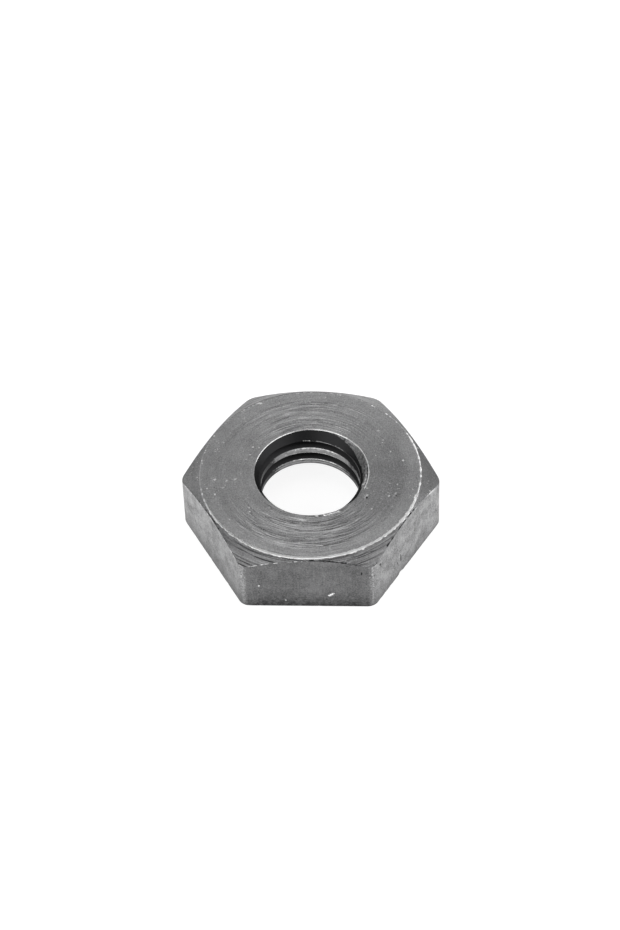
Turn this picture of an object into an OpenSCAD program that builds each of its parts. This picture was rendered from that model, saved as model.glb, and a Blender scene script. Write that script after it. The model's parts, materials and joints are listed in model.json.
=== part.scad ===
// Thin hexagon lock nut, turned from hexagon bar and tapped right through.
// The origin is the centre of the underside, with +Z up through the bore.
// Two of the spanner flats face -Y and +Y.

/* [Hexagon] */
// Distance across the spanner flats
across_flats = 24; // [22:0.5:30]
// Height of the nut, underside to top face
height = 7.6; // [6.6:0.1:12]
// Radius of the six upright edges
edge_radius = 1.3; // [0.4:0.1:2.4]
// Edge break round the foot of the hexagon
foot_break = 0.15; // [0.05:0.05:0.4]

/* [Top chamfer] */
// Gap between the flats and the circle where the chamfer starts
face_inset = 0.2; // [0.05:0.05:1]
// Slope of the chamfer below the top face, in degrees
chamfer_slope = 32; // [15:1:40]

/* [Thread] */
// Nominal diameter of the right-hand thread, across the roots of its groove
thread_d = 12; // [10:0.5:13]
// Pitch of the thread
pitch = 1.75; // [1:0.25:2]
// Share of the full thread height that the tapping drill leaves standing
engagement = 0.82; // [0.6:0.01:1]
// Height of the groove's centre where it crosses the +Y side
groove_phase = 6.2; // [5:0.1:7]
// Ring left round the thread by the countersink at the top face
mouth_margin = 0.05; // [0.05:0.05:0.6]
// Angle of the countersink, wall to wall, in degrees
mouth_angle = 90; // [75:5:120]
// Chamfer on the lower end of the thread
thread_end_chamfer = 0.3; // [0.1:0.05:0.5]

/* [Underside recess] */
// Diameter of the recess in the underside
recess_d = 17; // [15:0.5:19]
// Depth of the recess
recess_depth = 2.7; // [1:0.1:3.6]
// Fillet between the wall and the ceiling of the recess
recess_fillet = 0.5; // [0.2:0.1:0.9]
// Edge break at the mouth of the recess
recess_break = 0.2; // [0.05:0.05:0.4]

/* [Hidden] */
steel = [0.50, 0.50, 0.50];
sides = 6;
side_angle = 360 / sides;
// How far a cutting or cut shape runs past the surface that it crosses
overcut = 1;
round_steps = 96;
fillet_steps = 6;
groove_steps = 36;

stock_height = height + overcut;
flat_r = across_flats / 2;
face_r = flat_r - face_inset;
sharp_corner_r = flat_r / cos(side_angle / 2);
// Centre of each upright edge's radius, and the chord between its two tangent lines
edge_centre_r = (flat_r - edge_radius) / cos(side_angle / 2);
edge_chord_r = edge_centre_r + edge_radius * cos(side_angle / 2);

// Metric thread form: flats of an eighth of the pitch at the root and a quarter at the full crest
flank_slope = tan(30);
root_r = thread_d / 2;
root_flat = pitch / 8;
full_crest_flat = pitch / 4;
full_thread_height = (pitch - root_flat - full_crest_flat) / 2 / flank_slope;
bore_r = root_r - engagement * full_thread_height;
// The groove's section starts a little inside the bore, so that it cuts the wall cleanly
groove_inner_r = bore_r - full_crest_flat;
groove_width = root_flat + 2 * (root_r - groove_inner_r) * flank_slope;

mouth_r = root_r + mouth_margin;
mouth_slant = tan(mouth_angle / 2);
mouth_depth = (mouth_r - bore_r) / mouth_slant;
recess_r = recess_d / 2;

// A bar that crosses the axis, as wide as two opposite faces, with its two lower edges broken by inset
module bar(half_width, inset) {
  section = [
    [-half_width + inset, 0], [half_width - inset, 0], [half_width, foot_break],
    [half_width, stock_height], [-half_width, stock_height], [-half_width, foot_break]
  ];
  rotate([90, 0, 90])
    linear_extrude(height = 2 * sharp_corner_r, center = true)
      polygon(section);
}

// One rounded upright edge, a post with its foot broken like the flats beside it
module edge_post() {
  rotate_extrude($fn = round_steps)
    polygon([
      [0, 0], [edge_radius - foot_break, 0], [edge_radius, foot_break],
      [edge_radius, stock_height], [0, stock_height]
    ]);
}

// The hexagon bar stock with rounded upright edges, standing proud of the finished height
module hexagon() {
  intersection_for(turn = [0 : side_angle : 180 - side_angle]) {
    rotate(turn) intersection() {
      bar(flat_r, foot_break);
      rotate(side_angle / 2) bar(edge_chord_r, foot_break * cos(side_angle / 2));
    }
  }
  for (corner = [0 : sides - 1])
    rotate(corner * side_angle)
      translate([edge_centre_r, 0, 0])
        edge_post();
}

// The blank that the lathe leaves: everything below the top face and its chamfer
module turned_envelope() {
  reach = sharp_corner_r + overcut;
  rotate_extrude($fn = round_steps)
    polygon([
      [0, -overcut], [reach, -overcut],
      [reach, height - (reach - face_r) * tan(chamfer_slope)],
      [face_r, height], [0, height]
    ]);
}

// Points of the fillet in the top corner of the recess, wall to ceiling
function recess_corner() = [
  for (step = [0 : fillet_steps])
    let (turn = 90 * step / fillet_steps)
      [recess_r - recess_fillet * (1 - cos(turn)), recess_depth - recess_fillet * (1 - sin(turn))]
];

// What is drilled and bored out: countersink, tapping drill, thread end and recess
module bored_out() {
  rotate_extrude($fn = round_steps)
    polygon(concat(
      [[0, -overcut], [recess_r + recess_break + overcut, -overcut], [recess_r, recess_break]],
      recess_corner(),
      [
        [bore_r + thread_end_chamfer, recess_depth],
        [bore_r, recess_depth + thread_end_chamfer],
        [bore_r, height - mouth_depth],
        [mouth_r + overcut * mouth_slant, height + overcut],
        [0, height + overcut]
      ]
    ));
}

// Height of the groove's centre at one turn angle, counted from +X towards +Y
function groove_height(turn) = groove_phase + pitch * (turn - 90) / 360;

// The four corners of the groove's section at one turn angle
function groove_ring(turn) = [
  for (corner = [
    [groove_inner_r, -groove_width / 2], [root_r, -root_flat / 2],
    [root_r, root_flat / 2], [groove_inner_r, groove_width / 2]
  ])
    [corner[0] * cos(turn), corner[0] * sin(turn), groove_height(turn) + corner[1]]
];

// What the tap cuts: one helical groove, from inside the recess to above the top face
module tapped_groove() {
  step_angle = 360 / groove_steps;
  step_rise = pitch / groove_steps;
  first = floor((recess_depth - groove_width - groove_height(0)) / step_rise);
  last = ceil((height + groove_width - groove_height(0)) / step_rise);
  rings = last - first + 1;
  points = [for (ring = [first : last]) each groove_ring(ring * step_angle)];
  walls = [
    for (ring = [0 : rings - 2], side = [0 : 3])
      let (here = 4 * ring + side, next = 4 * ring + (side + 1) % 4)
        each [[here, next, next + 4], [here, next + 4, here + 4]]
  ];
  start_cap = [[3, 2, 1, 0]];
  end_cap = [[for (side = [0 : 3]) 4 * (rings - 1) + side]];
  polyhedron(points = points, faces = concat(start_cap, walls, end_cap), convexity = 8);
}

module nut() {
  color(steel)
    difference() {
      intersection() {
        hexagon();
        turned_envelope();
      }
      bored_out();
      tapped_groove();
    }
}

nut();
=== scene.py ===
import json
import math

import bmesh
import bpy
import numpy as np
from bpy.props import FloatProperty, FloatVectorProperty, PointerProperty
from mathutils import Matrix, Vector


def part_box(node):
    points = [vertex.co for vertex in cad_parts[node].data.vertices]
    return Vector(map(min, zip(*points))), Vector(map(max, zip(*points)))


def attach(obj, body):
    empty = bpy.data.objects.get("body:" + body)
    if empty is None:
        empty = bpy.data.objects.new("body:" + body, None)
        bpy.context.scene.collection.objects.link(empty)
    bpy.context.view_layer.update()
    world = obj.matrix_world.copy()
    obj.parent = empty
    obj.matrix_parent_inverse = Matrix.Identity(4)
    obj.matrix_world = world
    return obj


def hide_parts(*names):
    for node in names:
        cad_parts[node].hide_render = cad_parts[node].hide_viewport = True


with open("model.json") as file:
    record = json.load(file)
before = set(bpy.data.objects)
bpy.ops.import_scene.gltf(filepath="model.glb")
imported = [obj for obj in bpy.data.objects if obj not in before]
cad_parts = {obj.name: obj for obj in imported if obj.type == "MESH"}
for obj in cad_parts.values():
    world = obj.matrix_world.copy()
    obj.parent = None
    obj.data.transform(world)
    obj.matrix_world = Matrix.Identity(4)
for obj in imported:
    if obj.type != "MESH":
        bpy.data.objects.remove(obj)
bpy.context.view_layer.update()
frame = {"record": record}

bl_info = {
    "name": "Lock Nut",
    "version": (1, 0, 0),
    "blender": (4, 5, 0),
    "location": "View3D > Sidebar > Lock Nut",
    "description": "Builds a thin turned steel lock nut with its thread, tool marks and worn edges",
    "category": "Add Mesh",
}

MM = 0.001
SIDES = 6
SIDE_ANGLE = math.tau / SIDES
# The photograph's height in pixels and the sensor's in mm, which give the lens its focal length
PHOTO_TALL = 930
SENSOR = 36.0

nut_low, nut_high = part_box("nut")
mounts = {mount["name"]: mount for mount in frame["record"]["mounts"]}

# Mesh density: columns run up the nut's sides, rows run round it
EDGE_COLUMNS = 14
FLAT_COLUMNS = 68
GROOVE_ROWS = 16
CREST_ROWS = 8
WALL_ROWS = 38
CHAMFER_ROWS = 7
# Edges that bend more than this are shaded sharp
SHARP_BEND = math.radians(38)

# Form of the tapped thread: slope of its flanks, width of its root as a share of the pitch, and how far
# its roots, its crests and the edges of the cones at its ends are rounded over
FLANK_SLOPE = math.radians(30)
ROOT_SHARE = 0.075
ROOT_BLEND = 0.22 * MM
CREST_BLEND = 0.05 * MM
CONE_BLEND = 0.03 * MM
# Heights tried at each column, to find where the thread runs into the cones at its ends
CROSSING_STEPS = 900
# How far below the top face the bore's last row lies, and how close to it a row is moved down there
UNDER_RIM = 0.06 * MM
CLOSE_TO_RIM = 0.15 * MM


def length(name, default_mm, description):
    """A length in a property group, given in millimetres and kept in metres."""
    return FloatProperty(
        name=name,
        description=description,
        default=default_mm * MM,
        min=0.0,
        precision=5,
        subtype="DISTANCE",
        unit="LENGTH",
    )


def angle(name, default_degrees, description):
    """An angle in a property group, given in degrees and kept in radians."""
    return FloatProperty(
        name=name,
        description=description,
        default=math.radians(default_degrees),
        subtype="ANGLE",
        unit="ROTATION",
    )


def colour(name, grey, description):
    """A linear colour in a property group, given as red, green and blue."""
    return FloatVectorProperty(
        name=name,
        description=description,
        default=grey,
        size=3,
        min=0.0,
        max=1.0,
        subtype="COLOR",
    )


class LockNutSizes(bpy.types.PropertyGroup):
    across_flats: length("Across flats", (nut_high.y - nut_low.y) / MM, "Distance across the spanner flats")
    height: length("Height", (nut_high.z - nut_low.z) / MM, "Underside to top face")
    edge_radius: length("Upright edge radius", 1.3, "Radius of the six upright edges")
    foot_break: length("Foot break", 0.15, "Edge break round the foot of the hexagon")
    face_inset: length("Face inset", 0.25, "Gap between the flats and the circle where the chamfer starts")
    chamfer_slope: angle("Chamfer slope", 32, "Slope of the top chamfer below the top face")
    bore_radius: length("Bore radius", mounts["thread"]["dims"]["r_mm"], "Radius of the wall at the crests")
    root_radius: length("Root radius", 6.0, "Radius at the roots of the thread")
    pitch: length("Pitch", 1.75, "Pitch of the right-hand thread")
    groove_phase: length("Groove height", 6.2, "Height of the groove's centre where it crosses the +Y side")
    mouth_radius: length("Mouth radius", 6.05, "Radius of the countersink at the top face")
    thread_end_chamfer: length("Thread end chamfer", 0.3, "Chamfer on the lower end of the thread")
    recess_radius: length("Recess radius", 8.5, "Radius of the recess in the underside")
    recess_depth: length("Recess depth", 2.7, "Depth of the recess in the underside")
    recess_fillet: length("Recess fillet", 0.5, "Fillet between the recess's wall and ceiling")
    recess_break: length("Recess edge break", 0.2, "Edge break at the mouth of the recess")
    tap_overcut: length("Tap overcut", 0.12, "How far the worn tap has cut past the thread's root radius")
    crest_wear: length("Crest wear", 0.07, "How far the crests of the thread are worn back")
    mouth_wander_x: length("Mouth wander X", 0.08, "How far the countersink sits off the bore axis along X")
    mouth_wander_y: length("Mouth wander Y", 0.18, "How far the countersink sits off the bore axis along Y")
    worn_radius: length("Worn edge radius", 0.35, "Radius worn on the circle between top face and chamfer")
    crisp_radius: length("Crisp edge radius", 0.07, "Radius on the edges that are hardly worn")
    tool_mark_depth: length("Tool mark depth", 0.012, "Depth of the turned rings on the top face")


class LockNutFinish(bpy.types.PropertyGroup):
    steel: colour("Steel", (0.385, 0.385, 0.389), "Colour of the turned steel")
    drawn_steel: colour("Drawn steel", (0.32, 0.32, 0.323), "Colour of the spanner flats")
    # Bright steel is also the colour of painted highlights on the worn circle, the rings and the crests
    bright_steel: colour("Bright steel", (0.92, 0.92, 0.92), "Colour where the steel is rubbed bright")
    # Dark steel is also the colour of painted shade and shadow on the flats, chamfer, top face and rings
    # and in the bore
    dark_steel: colour("Dark steel", (0.03, 0.03, 0.031), "Colour of oiled grooves, pits and dirt")


class LockNutStudio(bpy.types.PropertyGroup):
    camera_distance: length("Camera distance", 319.5, "Distance from the nut to the camera")
    camera_height: angle("Camera elevation", 48.34, "Angle of the camera above the floor")
    camera_turn: angle("Camera azimuth", 3.22, "Turn of the camera from the front flat towards +X")
    camera_roll: angle("Camera roll", -2.02, "Roll of the camera")
    camera_left: length("Camera aim across", 0.119, "How far the camera stands to the left of its aim")
    camera_up: length("Camera aim up", 3.2575, "How far the camera stands above its aim")
    aim_height: length("Aim height", 4.0, "Height on the bore axis that the camera was measured from")
    focal_pixels: FloatProperty(
        name="Focal length",
        description="Focal length of the camera in pixels of the photograph",
        default=2996.2,
    )
    floor_colour: colour("Floor", (0.32, 0.32, 0.32), "Colour of the floor under its own glow")


def smooth_min(first, second, blend):
    """The smaller of two heights, with the corner between them rounded over the blend length."""
    share = np.clip(0.5 + 0.5 * (second - first) / blend, 0, 1)
    return second * (1 - share) + first * share - blend * share * (1 - share)


def smooth_max(first, second, blend):
    """The larger of two heights, with the corner between them rounded over the blend length."""
    return -smooth_min(-first, -second, blend)


def points(radius, height):
    """Rows of profile points, one for each column, from radii and heights."""
    return np.stack(np.broadcast_arrays(radius, height), axis=-1).astype(float)


def straight(start, end, count):
    """The rows between two rows of profile points, without either of them."""
    shares = np.arange(1, count + 1) / (count + 1)
    return [start + share * (end - start) for share in shares]


def rounded(before, corner, after, radius, count):
    """Rows that turn a corner of the profile with about the given radius."""
    to_before = before - corner
    to_after = after - corner
    reach_before = np.linalg.norm(to_before, axis=-1, keepdims=True)
    reach_after = np.linalg.norm(to_after, axis=-1, keepdims=True)
    cosine = (to_before * to_after).sum(-1, keepdims=True) / (reach_before * reach_after)
    half_angle = np.arccos(np.clip(cosine, -1, 1)) / 2
    tangent = np.minimum(radius / np.tan(half_angle), 0.45 * np.minimum(reach_before, reach_after))
    start = corner + to_before / reach_before * tangent
    end = corner + to_after / reach_after * tangent
    rows = []
    for share in np.linspace(0, 1, count):
        rows.append((1 - share) ** 2 * start + 2 * share * (1 - share) * corner + share**2 * end)
    return rows


def column_angles(sizes):
    """Turn angles of the columns: even steps along each flat, finer steps round each upright edge."""
    flat_r = sizes.across_flats / 2
    centre_r = (flat_r - sizes.edge_radius) / math.cos(SIDE_ANGLE / 2)
    turns = np.linspace(-SIDE_ANGLE / 2, SIDE_ANGLE / 2, EDGE_COLUMNS, endpoint=False)
    edge = np.arctan2(sizes.edge_radius * np.sin(turns), centre_r + sizes.edge_radius * np.cos(turns))
    half_flat = centre_r * math.sin(SIDE_ANGLE / 2)
    along = np.linspace(-half_flat, half_flat, FLAT_COLUMNS, endpoint=False)
    flat = SIDE_ANGLE / 2 + np.arctan2(along, flat_r)
    sector = np.concatenate([edge, flat])
    all_angles = np.concatenate([sector + side * SIDE_ANGLE for side in range(SIDES)])
    return np.sort(all_angles % math.tau)


def hexagon_radius(sizes, turn):
    """Distance from the axis to the side of the nut, with rounded upright edges."""
    flat_r = sizes.across_flats / 2
    centre_r = (flat_r - sizes.edge_radius) / math.cos(SIDE_ANGLE / 2)
    from_edge = np.abs((turn + SIDE_ANGLE / 2) % SIDE_ANGLE - SIDE_ANGLE / 2)
    on_flat = flat_r / np.cos(SIDE_ANGLE / 2 - from_edge)
    inside = np.maximum(sizes.edge_radius**2 - (centre_r * np.sin(from_edge)) ** 2, 0)
    on_edge = centre_r * np.cos(from_edge) + np.sqrt(inside)
    tangent_turn = math.atan2(
        sizes.edge_radius * math.sin(SIDE_ANGLE / 2),
        centre_r + sizes.edge_radius * math.cos(SIDE_ANGLE / 2),
    )
    return np.where(from_edge < tangent_turn, on_edge, on_flat)


def groove_height(sizes, turn):
    """Height of the thread groove's centre at a turn angle from +X towards +Y."""
    return sizes.groove_phase + sizes.pitch * (turn - math.pi / 2) / math.tau


def crest_radius(sizes):
    """Radius of the bore wall at the worn crests of the thread."""
    return sizes.bore_radius + sizes.crest_wear


def half_groove(sizes):
    """Half the groove's width where it opens into the bore wall."""
    root_r = sizes.root_radius + sizes.tap_overcut
    root_half = ROOT_SHARE / 2 * sizes.pitch
    return root_half + (root_r - crest_radius(sizes)) * math.tan(FLANK_SLOPE)


def thread_radius(sizes, turn, height):
    """Radius of the tapped bore, from its crests to the roots of its groove."""
    turns_off = (height - groove_height(sizes, turn)) / sizes.pitch
    off_centre = np.abs(turns_off - np.round(turns_off)) * sizes.pitch
    flank = crest_radius(sizes) + (half_groove(sizes) - off_centre) / math.tan(FLANK_SLOPE)
    root = smooth_min(flank, sizes.root_radius + sizes.tap_overcut, ROOT_BLEND)
    return smooth_max(root, crest_radius(sizes), CREST_BLEND)


def mouth_radius_at(sizes, turn):
    """Radius of the countersink at the top face, which sits a little off the bore axis."""
    return sizes.mouth_radius + sizes.mouth_wander_x * np.cos(turn) + sizes.mouth_wander_y * np.sin(turn)


def cone_radius_at(sizes, turn, height):
    """Radius of the countersink or of the chamfer on the thread's lower end, whichever is wider."""
    countersink = mouth_radius_at(sizes, turn) - (sizes.height - height)
    lower_end = sizes.bore_radius + sizes.thread_end_chamfer - (height - sizes.recess_depth)
    return np.maximum(countersink, lower_end)


def bore_radius_at(sizes, turn, height):
    """Radius of the whole hole above the recess: countersink, thread and the chamfer on its lower end."""
    thread = thread_radius(sizes, turn, height)
    return smooth_max(thread, cone_radius_at(sizes, turn, height), CONE_BLEND)


def cone_crossings(sizes, turn):
    """Heights at which the thread runs into the countersink and the lower chamfer, at one turn angle."""
    heights = np.linspace(sizes.recess_depth, sizes.height, CROSSING_STEPS)
    gap = thread_radius(sizes, turn, heights) - cone_radius_at(sizes, turn, heights)
    change = np.nonzero(np.sign(gap[1:]) != np.sign(gap[:-1]))[0]
    share = gap[change] / (gap[change] - gap[change + 1])
    return heights[change] + share * (heights[1] - heights[0])


def bore_rows(sizes, turns):
    """Heights of the rows that follow the helix up the bore, one column for each turn angle."""
    edge = half_groove(sizes) / sizes.pitch
    steps = np.concatenate([
        np.linspace(-edge, edge, GROOVE_ROWS, endpoint=False),
        np.linspace(edge, 1 - edge, CREST_ROWS, endpoint=False),
    ])
    low, high = sizes.recess_depth, sizes.height
    first = math.floor((low - groove_height(sizes, math.tau)) / sizes.pitch) - 1
    last = math.ceil((high - groove_height(sizes, 0.0)) / sizes.pitch) + 1
    lattice = np.concatenate([steps + step for step in range(first, last)]) * sizes.pitch
    used = (lattice + groove_height(sizes, math.tau) > low) & (lattice + groove_height(sizes, 0.0) < high)
    heights = lattice[used][:, None] + groove_height(sizes, turns)[None, :]
    spare = 0.3 * sizes.pitch / (GROOVE_ROWS + CREST_ROWS)
    heights = np.where(heights > high - spare, high, heights)
    heights = np.where(heights < low + spare, low, heights)
    for column, turn in enumerate(turns):
        inside = np.nonzero((heights[:, column] > low) & (heights[:, column] < high))[0]
        for crossing in cone_crossings(sizes, turn):
            if low + spare < crossing < high - spare:
                nearest = inside[np.abs(heights[inside, column] - crossing).argmin()]
                heights[nearest, column] = crossing
                if nearest == inside[-1]:
                    inside = inside[:-1]
        under_rim = inside[-1]
        if heights[under_rim, column] > high - CLOSE_TO_RIM:
            heights[under_rim, column] = high - UNDER_RIM
    return heights


# Rings that the turning tool left deepest on the top face: radius in mm and share of the full depth
DEEP_RINGS = (
    (6.38, 0.5),
    (6.72, 0.8),
    (6.97, 0.7),
    (7.21, 1.0),
    (7.56, 0.6),
    (7.93, 1.0),
    (8.29, 0.7),
    (8.62, 0.4),
    (9.00, 0.9),
    (9.37, 0.7),
    (9.73, 0.5),
    (10.08, 1.0),
    (10.33, 0.6),
)
RING_HALF_WIDTH = 0.07
# Rows between the last ring and the worn circle, as distances inside the circle in mm
OUTER_INSETS = (1.0, 0.65, 0.35, 0.2, 0.1)
# Share of the rings' depth that is left towards +X and -X
SHALLOW_SHARE = 0.25


def top_face_rows(sizes, turns, rim, edge_r):
    """Rows across the top face, with a groove at each deep ring that is shallower towards +X and -X."""
    deepest = sizes.tool_mark_depth * (SHALLOW_SHARE + (1 - SHALLOW_SHARE) * np.sin(turns) ** 2)
    first_ring = (DEEP_RINGS[0][0] - RING_HALF_WIDTH) * MM
    rows = [points(np.minimum(rim + 0.1 * MM, (rim + first_ring) / 2), sizes.height)]
    for radius, share in DEEP_RINGS:
        for side, depth in ((-1, 0.0), (0, share), (1, 0.0)):
            ring = (radius + side * RING_HALF_WIDTH) * MM
            rows.append(points(np.full(len(rim), ring), sizes.height - depth * deepest))
    for inset in OUTER_INSETS:
        rows.append(points(np.full(len(rim), edge_r - inset * MM), sizes.height))
    return rows


def outer_rows(sizes, turns, rim, throat):
    """Rows from the rim over the top face, down the sides and through the recess to the bore."""
    top = sizes.height
    side = hexagon_radius(sizes, turns)
    face_r = sizes.across_flats / 2 - sizes.face_inset
    face_corner = points(np.full(len(turns), face_r), top)
    side_corner = points(side, top - (side - face_r) * math.tan(sizes.chamfer_slope))
    foot_corner = points(side, sizes.foot_break)
    foot_end = points(side - sizes.foot_break, 0.0)
    mouth_start = points(np.full(len(turns), sizes.recess_radius + sizes.recess_break), 0.0)
    mouth_end = points(np.full(len(turns), sizes.recess_radius), sizes.recess_break)
    wall_top = points(np.full(len(turns), sizes.recess_radius), sizes.recess_depth)
    throat_row = points(throat, sizes.recess_depth)

    on_face = points(face_corner[:, 0] - 3 * MM, top)
    face_edge = rounded(on_face, face_corner, side_corner, sizes.worn_radius, 5)
    side_edge = rounded(face_edge[-1], side_corner, foot_corner, sizes.crisp_radius, 4)
    foot_edge = rounded(side_corner, foot_corner, foot_end, sizes.crisp_radius, 3)
    under_edge = rounded(foot_corner, foot_end, mouth_start, sizes.crisp_radius, 3)
    mouth_edge = rounded(foot_end, mouth_start, mouth_end, sizes.crisp_radius, 3)
    wall_edge = rounded(mouth_start, mouth_end, wall_top, sizes.crisp_radius, 2)
    fillet = rounded(mouth_end, wall_top, throat_row, sizes.recess_fillet, 7)

    rows = top_face_rows(sizes, turns, rim, face_edge[0][0, 0])
    rows += face_edge
    rows += straight(face_edge[-1], side_edge[0], CHAMFER_ROWS)
    rows += side_edge
    rows += straight(side_edge[-1], foot_edge[0], WALL_ROWS)
    rows += foot_edge + under_edge
    rows.append(points(under_edge[-1][:, 0] - 0.3 * MM, 0.0))
    rows += straight(rows[-1], mouth_edge[0], 3)
    rows += mouth_edge + wall_edge
    rows += straight(wall_edge[-1], fillet[0], 4)
    rows += fillet
    rows += straight(fillet[-1], throat_row, 5)
    return rows


def nut_grid(sizes):
    """Vertices and faces of the nut, as rows round it and columns up it, closed both ways."""
    turns = column_angles(sizes)
    columns = len(turns)
    heights = bore_rows(sizes, turns)
    low, high = sizes.recess_depth, sizes.height
    throat = bore_radius_at(sizes, turns, low)
    rim = bore_radius_at(sizes, turns, high)

    rows = [points(throat, low)]
    rows += [points(bore_radius_at(sizes, turns, row), row) for row in heights]
    rows += [points(rim, high)]
    rim_row = len(rows) - 1
    rows += outer_rows(sizes, turns, rim, throat)
    grid = np.array(rows)

    vertices = np.empty(grid.shape[:2] + (3,))
    vertices[..., 0] = grid[..., 0] * np.cos(turns)
    vertices[..., 1] = grid[..., 0] * np.sin(turns)
    vertices[..., 2] = grid[..., 1]

    number = np.arange(grid.shape[0] * columns).reshape(grid.shape[0], columns)
    bore = number[1:rim_row]
    bore = np.where(heights <= low, number[0], bore)
    bore = np.where(heights >= high, number[rim_row], bore)
    number[1:rim_row] = bore

    # The row that follows a row across the seam is one turn of the thread higher
    turn_rows = GROOVE_ROWS + CREST_ROWS
    after = np.arange(grid.shape[0])
    after[1:rim_row] = np.minimum(after[1:rim_row] + turn_rows, rim_row)
    beyond = np.concatenate([number[:, 1:], number[after, 0][:, None]], axis=1)

    faces = []
    for row in range(grid.shape[0]):
        above = (row + 1) % grid.shape[0]
        lower, upper = (number[row], beyond[row]), (beyond[above], number[above])
        for column in range(columns):
            corners = [side[column] for side in lower + upper]
            face = [int(corner) for place, corner in enumerate(corners) if corner != corners[place - 1]]
            if len(set(face)) >= 3:
                faces.append(face)
    return vertices.reshape(-1, 3), faces


def new_mesh(name, vertices, faces):
    """A mesh of those faces, without the vertices that no face uses, and with its normals outwards."""
    form = bmesh.new()
    made = [form.verts.new(place) for place in vertices]
    for face in faces:
        form.faces.new([made[corner] for corner in face])
    unused = [vertex for vertex in form.verts if not vertex.link_faces]
    bmesh.ops.delete(form, geom=unused, context="VERTS")
    bmesh.ops.recalc_face_normals(form, faces=form.faces)
    for face in form.faces:
        face.smooth = True
    for edge in form.edges:
        if edge.is_manifold and edge.calc_face_angle() > SHARP_BEND:
            edge.smooth = False
    mesh = bpy.data.meshes.new(name)
    form.to_mesh(mesh)
    form.free()
    return mesh


FACE, CHAMFER, SIDE, THREAD, UNDERSIDE = range(5)
# Upward share of a face's normal, for faces that lie level and for the least that a chamfer has
LEVEL = 0.9
CHAMFER_LEAST = 0.45


def paint_zones(mesh, sizes):
    """Give each face of the mesh the finish of its zone."""
    face_r = sizes.across_flats / 2 - sizes.face_inset
    for face in mesh.polygons:
        x, y, z = face.center
        radius = math.hypot(x, y)
        up = face.normal.z
        outwards = (face.normal.x * x + face.normal.y * y) / radius
        past_recess = radius > sizes.recess_radius + sizes.recess_break
        by_mouth = radius < sizes.mouth_radius + 0.4 * MM
        if past_recess and up > -LEVEL and z < sizes.height - 0.02 * MM:
            zone = SIDE if up < CHAMFER_LEAST else CHAMFER
        elif z > sizes.height - sizes.tool_mark_depth * 2 and up > LEVEL:
            zone = CHAMFER if radius > face_r + 0.05 * MM else FACE
        elif outwards < 0.2 and z > sizes.recess_depth + 0.01 * MM and by_mouth:
            zone = THREAD
        elif radius > face_r - 0.4 * MM and up > CHAMFER_LEAST:
            zone = CHAMFER
        else:
            zone = UNDERSIDE
        face.material_index = zone


def around(turn, start, end, fade):
    """One between two turn angles in degrees from +X towards +Y, fading to nothing outside them."""
    degrees = np.degrees(turn)
    middle, half = (start + end) / 2, (end - start) / 2
    off = np.abs((degrees - middle + 180) % 360 - 180) - half
    return np.clip(1 - off / fade, 0, 1)


def arcs(turn, marked):
    """Arcs round the nut added up, each given by its start, end and fade in degrees and its strength."""
    return sum(strength * around(turn, start, end, fade) for start, end, fade, strength in marked)


def near(value, target, reach):
    """One at the target, falling to nothing like a bell over the reach."""
    return np.exp(-(((value - target) / reach) ** 2))


def patchy(turn, knots, seed):
    """Seeded random values between 0 and 1 round the nut, joined smoothly from knot to knot."""
    values = np.random.default_rng(seed).random(knots)
    along = (turn / math.tau % 1) * knots
    low = np.floor(along).astype(int)
    share = along - low
    share = share * share * (3 - 2 * share)
    return values[low % knots] * (1 - share) + values[(low + 1) % knots] * share


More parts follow.
